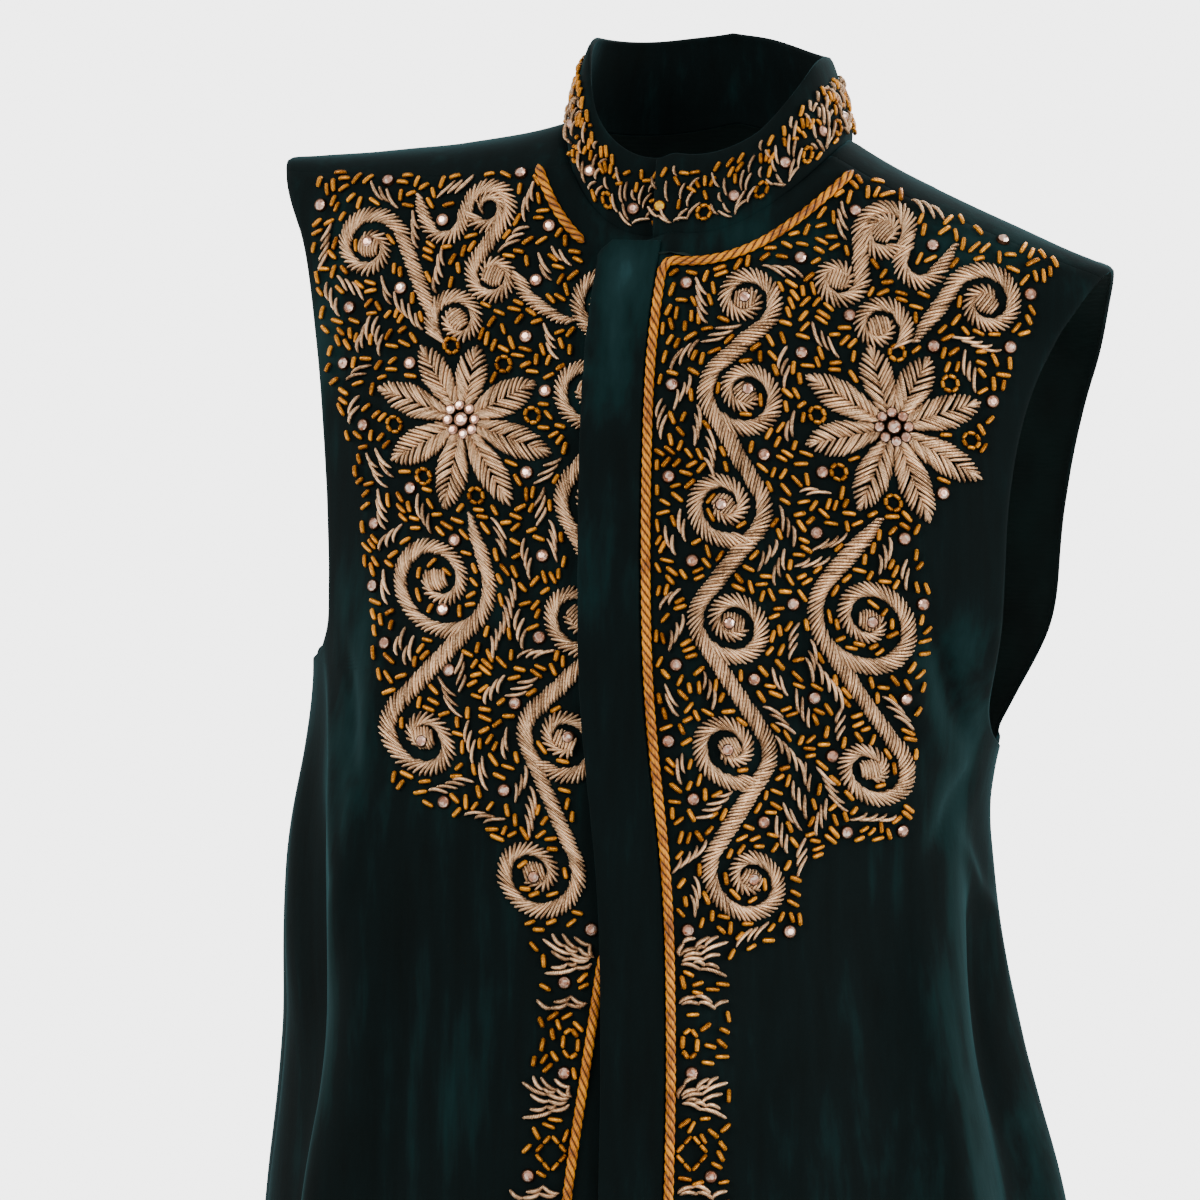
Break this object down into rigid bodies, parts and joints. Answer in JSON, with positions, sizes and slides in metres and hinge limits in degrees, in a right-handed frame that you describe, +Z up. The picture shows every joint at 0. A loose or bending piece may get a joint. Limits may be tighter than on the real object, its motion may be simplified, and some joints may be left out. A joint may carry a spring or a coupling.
{
  "type": "worn sleeveless waistcoat",
  "caption": "Long velvet waistcoat with a stand collar, a concealed front placket, corded edges and raised metallic scroll and flower embroidery, in its worn form.",
  "frame": {"origin": "middle of the neck base between the shoulders, where the wearer's shoulders hold the garment up", "axes": "+Z up along the wearer's spine, -Y towards the front, +X towards the wearer's left"},
  "size_m": [0.4388, 0.3106, 0.7748],
  "materials": {
    "velvet": "bottle-green silk velvet, short pile",
    "cord": "two-ply twisted metallic cord, orange gold",
    "bullion": "champagne-gold coiled bullion wire, couched over padding"
  },
  "bodies": {
    "root": {"front_left": "velvet", "front_right": "velvet", "back": "velvet", "collar": "velvet", "placket_band": "velvet", "neck_cord_left": "cord", "neck_cord_right": "cord", "placket_cord": "cord", "edge_cord": "cord", "inner_vine_left": "bullion", "inner_vine_right": "bullion", "lower_vine_left": "bullion", "lower_vine_right": "bullion", "upper_vine_left": "bullion", "upper_vine_right": "bullion", "shoulder_vine_left": "bullion", "shoulder_vine_right": "bullion", "flower_left": "bullion", "flower_right": "bullion"}
  },
  "joints": []
}
